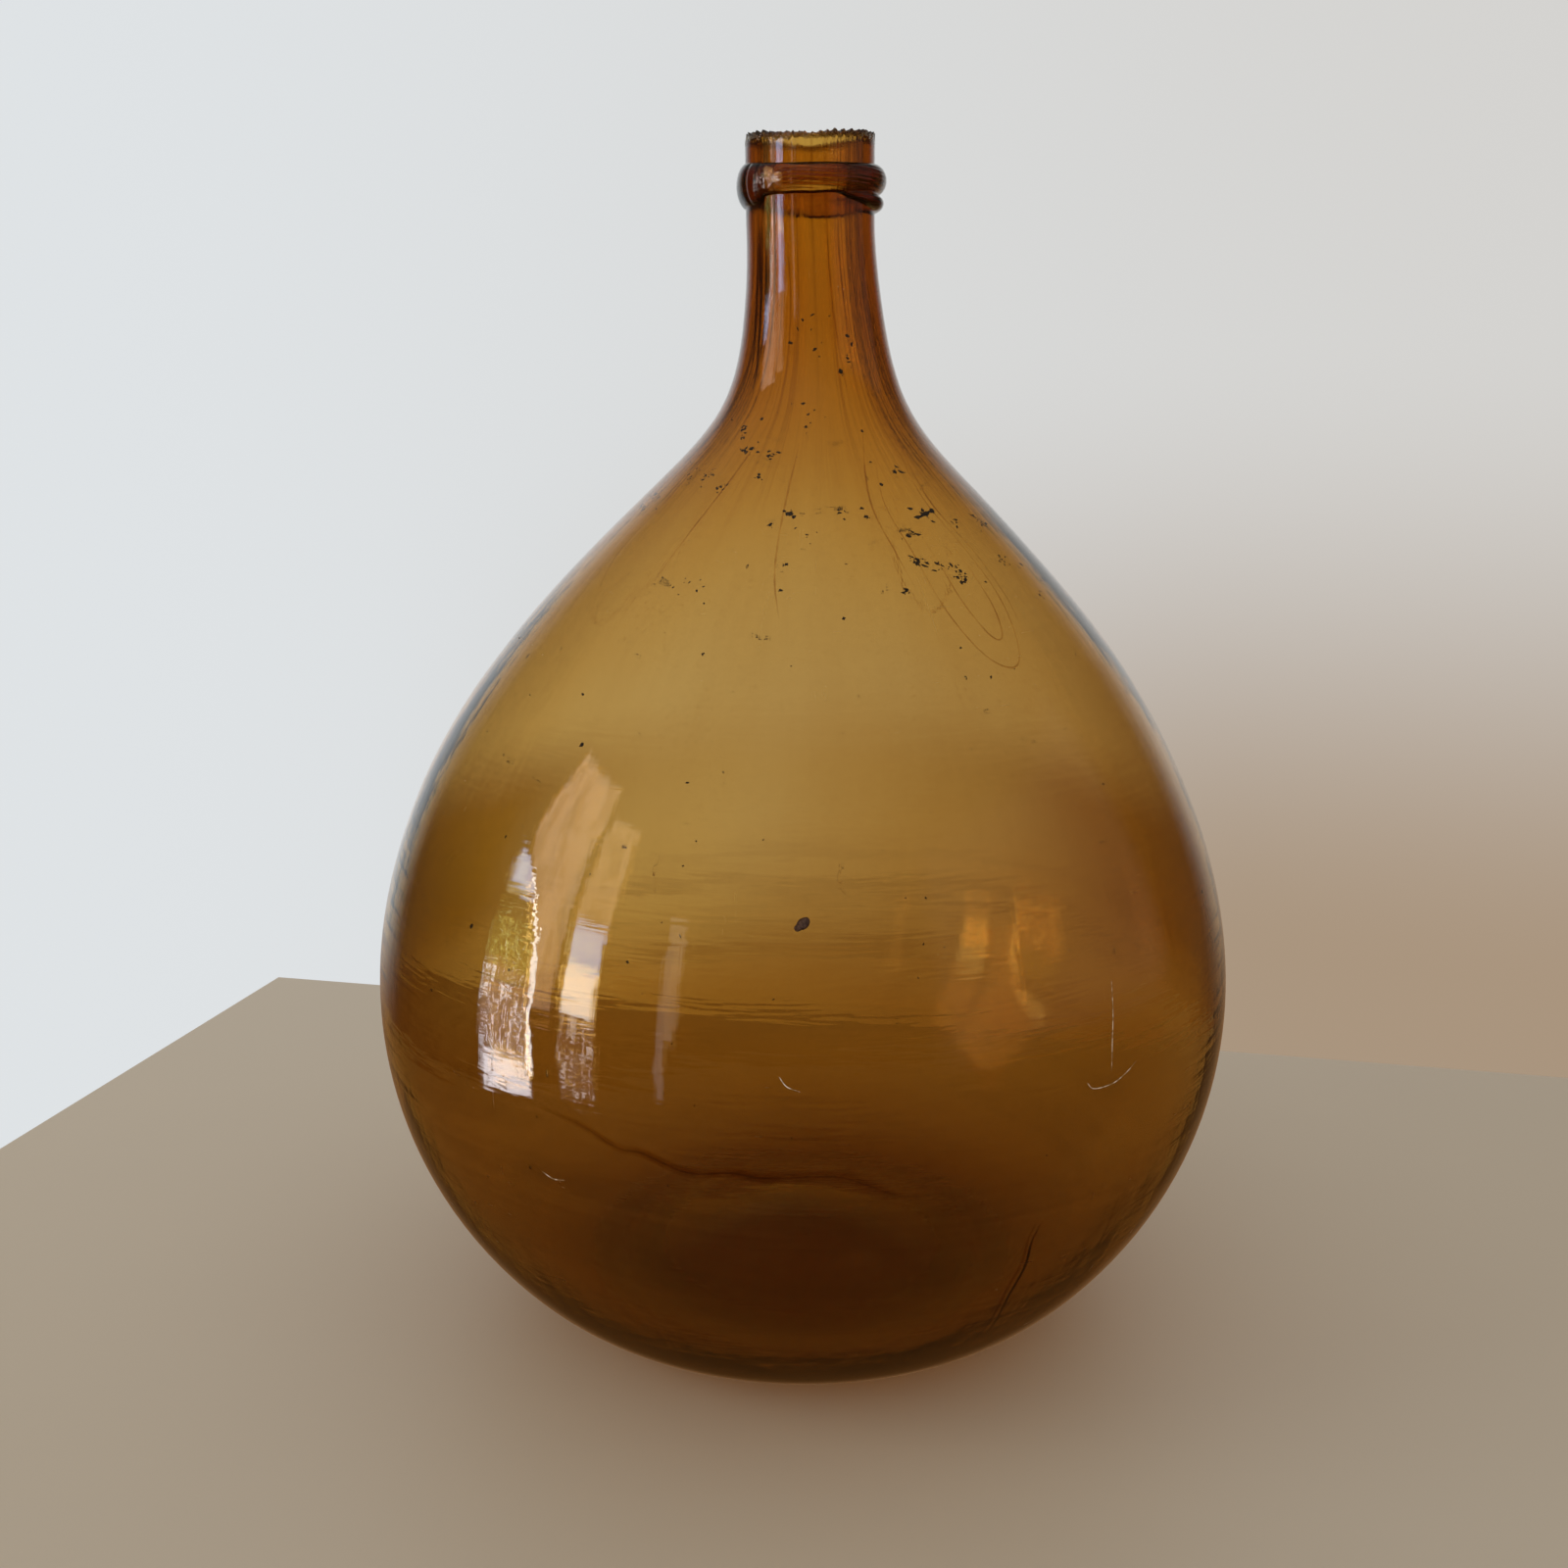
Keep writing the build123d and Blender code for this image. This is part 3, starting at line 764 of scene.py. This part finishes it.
def old_blown_glass(name):
    """Amber glass as it left the pipe and as use has left it: a rolling skin, level
    ripples, drawn streaks down from the neck, a thin brown film and dust inside the
    shoulder, fine scratches, a grained break and a ground, dull resting ring. Painted
    shade lies low in the body and on the break, with painted glints on the break."""
    material, paint, place = new_finish(name)
    cloud, between, blended = paint.cloud, paint.between, paint.blended
    product, total, mixed = paint.product, paint.total, paint.mixed
    flow = paint.mark("flow", "Vector")
    inside, broken = paint.mark("inside"), paint.mark("broken")
    across, _, height = paint.parts(place)
    neck = between(height, 0.25, 0.31)
    belt = product(between(height, 0.075, 0.115), between(height, 0.150, 0.190, 1.0, 0.0))

    # fine scratches, level ones and upright ones, in worn places of the outside
    scuff = between(cloud(flow, (9.0, 9.0, 900.0), 2.0, 0.5, 1.4), 0.735, 0.765)
    scuff_up = between(cloud(flow, (160.0, 160.0, 24.0), 2.0, 0.5, 1.1), 0.745, 0.775)
    worn = between(cloud(place, 14.0), 0.45, 0.62)
    lines = product(paint.reckon("MAXIMUM", scuff, scuff_up), worn, between(inside, 0.2, 0.5, 1.0, 0.0))

    # the skin's height in millimetres
    rolling = product(cloud(place, 26.0, 3.0, 0.45), 0.2)
    level = cloud(place, (20.0, 20.0, 210.0), 3.0, 0.5, 0.3)
    ripple = product(level, total(mixed(neck, 0.055, 0.006), product(belt, 0.09)))
    dimples = product(cloud(place, 95.0), 0.06)
    drawn = cloud(flow, (19.0, 19.0, 7.0), 4.0, 0.55, 0.25)
    streaks = product(drawn, total(product(neck, inside, 0.2), 0.04))
    cracked = product(cloud(place, 900.0, 4.0, 0.7), broken, 0.8)
    skin_height = total(rolling, ripple, dimples, streaks, cracked, product(lines, -0.006))

    # the film inside: strongest at the shoulder and in the drawn streaks, with fine dust
    band = product(between(height, 0.15, 0.262), between(height, 0.285, 0.35, 1.0, 0.35))
    runs = between(cloud(flow, (7.0, 7.0, 9.0), 5.0, 0.65, 0.8), 0.47, 0.76)
    dust = between(cloud(place, 520.0, 3.0, 0.75), 0.55, 0.70)
    patches = between(cloud(place, 30.0, 4.0, 0.6), 0.38, 0.7)
    film = total(product(runs, 0.26, mixed(band, 0.35, 0.65)),
                 product(dust, patches, mixed(band, 0.12, 0.55)))
    film = paint.reckon("MINIMUM", product(film, inside), 1.0)

    # a brown all over the inside: next to none at the shoulder, more on the belly, where it
    # looks deeper when it is seen slantwise, and most on the belly's left
    inside_brown = blended(between(height, 0.15, 0.20), (0.92, 0.79, 0.46), (1.0, 1.0, 1.0))
    inside_brown = blended(between(height, 0.26, 0.31), inside_brown, (0.93, 0.86, 0.50))
    slant = paint.add("ShaderNodeLayerWeight", Blend=0.5).outputs["Facing"]
    inside_brown = blended(product(between(slant, 0.05, 0.44), belt), inside_brown, (0.36, 0.18, 0.012))
    aside = product(between(across, -0.112, -0.075, 1.0, 0.0), belt, 0.55)
    inside_brown = blended(aside, inside_brown, (0.16, 0.07, 0.0))
    colour = blended(inside, (1.0, 1.0, 1.0), inside_brown)
    colour = blended(film, colour, (0.60, 0.45, 0.24))
    # dark drawn threads in the neck
    thread = between(cloud(flow, (26.0, 26.0, 3.0), 4.0, 0.6, 0.2), 0.5, 0.66)
    colour = blended(product(thread, neck, inside, 0.75), colour, (0.42, 0.27, 0.13))
    # painted shade low in the body, for the shaded table seen through it: darker towards
    # the bottom, with darker level streaks
    uneven = mixed(cloud(place, (9.0, 9.0, 22.0), 3.0, 0.55), -0.022, 0.022)
    painted_low_shade = product(between(total(height, uneven), 0.052, 0.128, 1.0, 0.0), inside)
    colour = blended(painted_low_shade, colour, (0.40, 0.205, 0.04))
    # the darker level streaks are painted shade too
    levels = between(cloud(place, (5.0, 5.0, 75.0), 4.0, 0.6, 0.6), 0.42, 0.66)
    levels = product(levels, between(height, 0.095, 0.135, 1.0, 0.0), inside, 0.55)
    colour = blended(levels, colour, (0.26, 0.13, 0.025))
    # the break: painted shade in dark patches and painted glints in bright ones
    break_shade_and_glints = between(cloud(place, 620.0, 3.0, 0.65, 0.8), 0.44, 0.56)
    break_shade_and_glints = blended(break_shade_and_glints, (0.14, 0.085, 0.03), (0.95, 0.86, 0.50))
    colour = blended(product(broken, 0.9), colour, break_shade_and_glints)

    foot = between(height, 0.0006, 0.0022, 1.0, 0.0)
    dull = ((film, 0.10), (lines, 0.35), (broken, 0.3), (painted_low_shade, 0.10), (foot, 0.55))
    roughness = paint.reckon("MAXIMUM", *[product(where, much) for where, much in dull])
    amber_glass(paint, colour, roughness, skin_height)
    return material


def tooled_glass(name):
    """The hot trail's glass: the same amber, with level tool lines, drawn lumps and a
    little dirt that use has left in them."""
    material, paint, place = new_finish(name)
    tool = paint.cloud(place, (55.0, 55.0, 1300.0), 3.0, 0.55, 0.4)
    lump = paint.cloud(place, 190.0)
    dirt = paint.between(paint.cloud(place, (120.0, 120.0, 900.0), 3.0, 0.6, 0.6), 0.5, 0.72)
    height = paint.total(paint.product(tool, 0.09), paint.product(lump, 0.07))
    colour = paint.blended(dirt, (0.86, 0.80, 0.72), (0.50, 0.36, 0.24))
    amber_glass(paint, colour, paint.product(dirt, 0.12), height)
    return material


def mottled(name, dark, light, cloud=(1800.0, 3.0, 0.6), step=(0.4, 0.7), roughness=0.6,
            strength=0.4):
    """A matt finish between two colours, as on a burnt stone. The cloud gives its noise's
    scale, detail and roughness, the step where the noise changes the colour, and the
    strength how much the same noise roughens the surface."""
    material, paint, place = new_finish(name)
    noise = paint.cloud(place, *cloud)
    share = paint.between(noise, *step) if step else noise
    shader = paint.add("ShaderNodeBsdfPrincipled", Roughness=roughness,
                       Base_Color=paint.blended(share, dark, light))
    if strength:
        paint.feed([shader.inputs["Normal"]], paint.relief(noise, 0.1 * MM, strength))
    paint.feed(paint.output.inputs, shader.outputs[0])
    return material


def brown_veil(name, thin, thick):
    """The brown of strands in the glass, for cords of denser glass and for painted dark
    stripes alike: it bends no light of its own and only takes some away, more here and
    less there along its run."""
    material, paint, place = new_finish(name)
    varied = paint.between(paint.cloud(place, 90.0), 0.35, 0.65)
    brown = paint.blended(paint.mark("core"), (1.0, 1.0, 1.0), paint.blended(varied, thin, thick))
    veil = paint.add("ShaderNodeBsdfTransparent", Color=brown)
    paint.feed(paint.output.inputs, veil.outputs[0])
    return material


# ---- pieces

def dressed(piece, slot, *nodes):
    """Marks a piece as part of the carboy, with the solid that it stands for."""
    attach(piece, "root")
    if nodes:
        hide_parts(*nodes)


def of_strands(name, finish, shares, runs):
    """A piece made of strands, each with its share of the darkness."""
    core = np.concatenate([share * run[3] for share, run in zip(shares, runs)])
    return make_piece(name, gathered(runs), finish, {"core": core})


vessel_glass = old_blown_glass("vessel_glass")
ring_glass = tooled_glass("ring_glass")
*glass, marks = vessel_grid()
gas = seeds()
# the bubbles take a little of what browns the inside
extra = len(gas[0])
more = {"inside": np.full(extra, 0.3), "broken": np.zeros(extra), "flow": gas[0] / BELLY_R}
marks = {key: np.concatenate([marks[key], more[key]]) for key in more}
dressed(make_piece("blown_vessel", gathered([glass, gas]), vessel_glass, marks), "vessel_glass", "vessel")
dressed(make_piece("wound_string_ring", ring_grid(), ring_glass), "ring_glass", "string_ring")

burnt = mottled("burnt_stone", (0.008, 0.005, 0.004), (0.06, 0.03, 0.012))
dressed(make_piece("stones_in_glass", stones_and_specks(), burnt), "vessel_glass")

violet = mottled("violet_stone", (0.055, 0.026, 0.040), (0.17, 0.10, 0.11))
halves = np.array([[2.0, 1.45, 0.6], [1.0, 0.9, 0.5]]) * MM
oval = lumps(np.radians([-0.6, -1.2]), np.array([165.0, 163.9]) * MM, 1.3 * MM, halves,
             np.radians([38.0, 0.0]), 8, 0.06)
dressed(make_piece("violet_stone", oval, violet), "vessel_glass")

cord_brown = brown_veil("cord_brown", (0.95, 0.91, 0.83), (0.74, 0.62, 0.46))
runs = [strand(path, 1.2 * MM, 0.34 * MM, 140, 0.5) for path in CORDS]
runs += [strand(path, 1.0 * MM, 0.36 * MM, 70, 0.5) for path in NECK_THREADS[PAINTED_STRIPE_THREADS:]]
dressed(of_strands("cords_in_glass", cord_brown, [1.0] * len(runs), runs), "vessel_glass")

# dark lines: the upright one near the foot, a faint copy of the wavy line low on the front, and the
# painted dark stripes of refraction at the left of the neck
line_brown = brown_veil("dark_line_brown", (0.36, 0.20, 0.10), (0.14, 0.07, 0.03))
runs = [strand(FOOT_LINE, 1.0 * MM, 0.55 * MM, 90, 0.5), strand(LOW_WAVY_LINE, 1.6 * MM, 0.35 * MM, 160, 0.5)]
runs += [strand(path, 1.0 * MM, 0.7 * MM, 70, 0.4) for path in NECK_THREADS[:PAINTED_STRIPE_THREADS]]
shares = [1.0, 0.28] + [0.8] * PAINTED_STRIPE_THREADS
dressed(of_strands("dark_lines_and_painted_stripes", line_brown, shares, runs), "vessel_glass")

# a soft dark wavy line low on the front
wavy_line_brown = brown_veil("wavy_line_brown", (0.93, 0.89, 0.82), (0.80, 0.70, 0.56))
runs = [strand(LOW_WAVY_LINE, 1.6 * MM, 1.6 * MM, 160, 0.2)]
dressed(of_strands("low_wavy_line", wavy_line_brown, [1.0], runs), "vessel_glass")

# the bruised glass in a scratch: pale, broken up along its length
pale = mottled("scratch_pale", (0.30, 0.20, 0.08), (0.95, 0.88, 0.74), (700.0,), (0.42, 0.6), 0.4, 0.0)
scored = gathered([strand(path, 0.05 * MM, 0.11 * MM, 60) for path in SCRATCHES])
dressed(make_piece("use_scratches", scored, pale), "vessel_glass")


# ---- floor, backdrop and light

TABLE_BROWN = np.array((0.56, 0.46, 0.34))
table_finish = mottled("pale_table", 0.97 * TABLE_BROWN, 1.03 * TABLE_BROWN, (5.0, 3.0), None, 0.5, 0.0)
# the table stands a little askew, with its far left corner behind the carboy
corner, askew, wide, deep, thick = np.array((-0.285, 0.305)), math.radians(-11.75), 1.7, 1.5, 0.03
along = np.array((math.cos(askew), math.sin(askew))) * wide
towards = np.array((math.sin(askew), -math.cos(askew))) * deep
plan = [corner + towards, corner + towards + along, corner + along, corner]
corners = np.array([(x, y, z) for z in (-thick, 0.0) for x, y in plan])
sides = np.array([(0, 3, 2, 1), (4, 5, 6, 7), (0, 1, 5, 4), (1, 2, 6, 5), (2, 3, 7, 6), (3, 0, 4, 7)])
table = make_piece("table_top", (corners, sides), table_finish)
table.data.shade_flat()
table.visible_glossy = False

world = bpy.data.worlds.new("studio")
bpy.context.scene.world = world
world.use_nodes = True
paint = Paint(world.node_tree, "ShaderNodeOutputWorld")
cloud, between, blended = paint.cloud, paint.between, paint.blended
toward = paint.add("ShaderNodeTexCoord").outputs["Generated"]
toward_x, toward_y, toward_z = paint.parts(toward)
DEGREES = 180 / math.pi
DARK = (0.0, 0.0, 0.0)
turn = paint.reckon("ARCTAN2", toward_x, paint.product(toward_y, -1.0))
turn = paint.product(turn, DEGREES)
rise = paint.product(paint.reckon("ARCSINE", toward_z, 0.0), DEGREES)

# the wall behind: cool at the left, and warmer and darker low down at the right
wall = blended(between(toward_x, -0.5, 0.5), (0.74, 0.77, 0.79), (0.66, 0.65, 0.63))
warm = paint.product(between(toward_z, -0.30, 0.08, 1.0, 0.0), between(toward_x, -0.28, 0.30))
wall = blended(warm, wall, (0.40, 0.30, 0.21))


def pane(left, right, low, high, colour, counted=turn, soft=0.7):
    """Light from a rectangle of directions with a soft rim, between two turns, counted
    straight or along the drape, and two rises, all in degrees."""
    share = paint.product(between(counted, left - soft, left + soft),
                          between(counted, right - soft, right + soft, 1.0, 0.0),
                          between(rise, low - soft, low + soft),
                          between(rise, high - soft, high + soft, 1.0, 0.0))
    return blended(share, DARK, colour)


def brighter(first, second):
    """Two lights together."""
    node = paint.add("ShaderNodeVectorMath", {"operation": "ADD"})
    paint.feed(node.inputs, first, second)
    return node.outputs[0]


# what shines in the glass: the wall behind, down to the table's far edge; in front a dim
# room, a little lighter upwards; and at the left a window, its curtain drawn aside
behind = between(toward_y, 0.62, 0.92)
edge_of_table = between(toward_y, 0.2, 0.7, 0.0, 0.30)
above = between(paint.total(toward_z, edge_of_table), -0.06, 0.12)
ceiling = paint.product(between(rise, 5.0, 60.0), between(toward_x, -0.45, 0.75, 1.12, 0.42))
room = blended(ceiling, (0.06, 0.045, 0.03), (0.26, 0.23, 0.21))
below = blended(behind, (0.12, 0.048, 0.012), (0.25, 0.13, 0.055))
shining = blended(above, below, blended(behind, room, wall))

# the curtain hangs aside: upwards its edge turns away from the glass
bulge = paint.reckon("MAXIMUM", paint.total(rise, -1.5), 0.0)
drape = paint.total(turn, paint.product(bulge, bulge, 0.036))
folds = between(cloud(toward, (18.0, 18.0, 2.0), 3.0, 0.5, 0.6), 0.35, 0.62, 0.6, 1.05)
linen = blended(folds, DARK, (2.9, 2.1, 1.55))
linen = blended(between(drape, -71.6, -70.8), DARK, linen)
dim_linen = blended(folds, DARK, (2.2, 1.6, 1.05))
# the garden, from the sky down: leaves, pale patches, a wall with posts, and bright ground
leaves = cloud(toward, (46.0, 46.0, 40.0), 5.0, 0.72, 0.3)
garden = blended(between(leaves, 0.50, 0.60), (0.42, 0.50, 0.10), (3.4, 3.9, 1.3))
garden = blended(between(leaves, 0.62, 0.66), garden, (8.0, 8.6, 9.4))
posts = cloud(toward, (70.0, 70.0, 16.0), 3.0, 0.6, 0.4)
yard = blended(between(posts, 0.52, 0.60), (1.5, 1.0, 0.75), (8.4, 8.6, 9.4))
ground = blended(between(posts, 0.36, 0.44), (1.2, 0.8, 0.6), (9.6, 9.4, 10.0))
garden = blended(between(rise, -2.0, 2.5), yard, garden)
garden = blended(between(rise, -16.5, -14.0), ground, garden)
garden = blended(between(rise, 8.0, 10.0, 0.0, 0.93), garden, (0.1, 0.12, 0.03))
garden = blended(between(rise, 12.5, 14.5), garden, (3.8, 5.0, 7.4))
garden = blended(between(turn, -89.5, -87.0), DARK, garden)
court = blended(between(posts, 0.5, 0.58), (0.5, 0.32, 0.2), (5.0, 4.8, 4.6))
court = blended(between(rise, -3.0, -1.5), court, (9.4, 9.0, 8.4))
court = blended(between(rise, 6.5, 8.0), court, (3.8, 5.0, 7.6))
for light in (pane(-95, -72.4, -22, 19, garden, drape),
              pane(-72.4, -71.2, -17, 17, (13.0, 12.74, 12.22), drape, 0.3),
              pane(-86.0, -65.4, -4, 37.5, linen),
              pane(-62.4, -53.6, -20, 15, court),
              pane(-63.0, -52.5, 15, 34, dim_linen),
              pane(-36.0, -32.0, -3, 20, (1.2, 1.056, 0.912)),
              pane(-36.6, -34.8, -16, -2, (1.1, 1.012, 0.99)),
              pane(35, 105, -6, 34, (0.14, 0.1204, 0.1064), turn, 5.0)):
    shining = brighter(shining, light)

ray = paint.add("ShaderNodeLightPath").outputs
mirrored = paint.reckon("GREATER_THAN", ray["Glossy Depth"], 0.5)
lit = blended(ray["Is Diffuse Ray"], blended(mirrored, wall, shining), (0.62, 0.63, 0.63))
sky = paint.add("ShaderNodeBackground", Color=lit)
paint.feed(paint.output.inputs, sky.outputs[0])

# a soft panel at the left, which faces the carboy and isn't mirrored in it
azimuth, away, wide, tall, radiance = math.radians(-74), 1.9, 0.9, 1.5, 2.6
lamp = bpy.data.lights.new("tall_panel", "AREA")
lamp.shape = "RECTANGLE"
lamp.size, lamp.size_y = wide, tall
lamp.energy = radiance * math.pi * wide * tall
panel = bpy.data.objects.new("tall_panel", lamp)
panel.location = (math.sin(azimuth) * away, -math.cos(azimuth) * away, 0.80)
panel.rotation_euler = (math.pi / 2, 0, azimuth)
panel.visible_camera = panel.visible_glossy = panel.visible_transmission = False
bpy.context.scene.collection.objects.link(panel)


# ---- camera

# it looks down a little and is turned a little about the way it looks
pitch, roll = math.radians(11.8), math.radians(0.29)
turned = Matrix.Rotation(math.pi / 2 - pitch, 4, "X") @ Matrix.Rotation(roll, 4, "Z")
lens = bpy.data.cameras.new("camera")
lens.sensor_width = 36.0
lens.lens = 35.64
lens.clip_start, lens.clip_end = 0.01, 50.0
camera = bpy.data.objects.new("camera", lens)
camera.matrix_world = Matrix.Translation((-0.00646, -0.512, 0.2811)) @ turned
bpy.context.scene.collection.objects.link(camera)
bpy.context.scene.camera = camera
bpy.context.scene.view_settings.view_transform = "Standard"
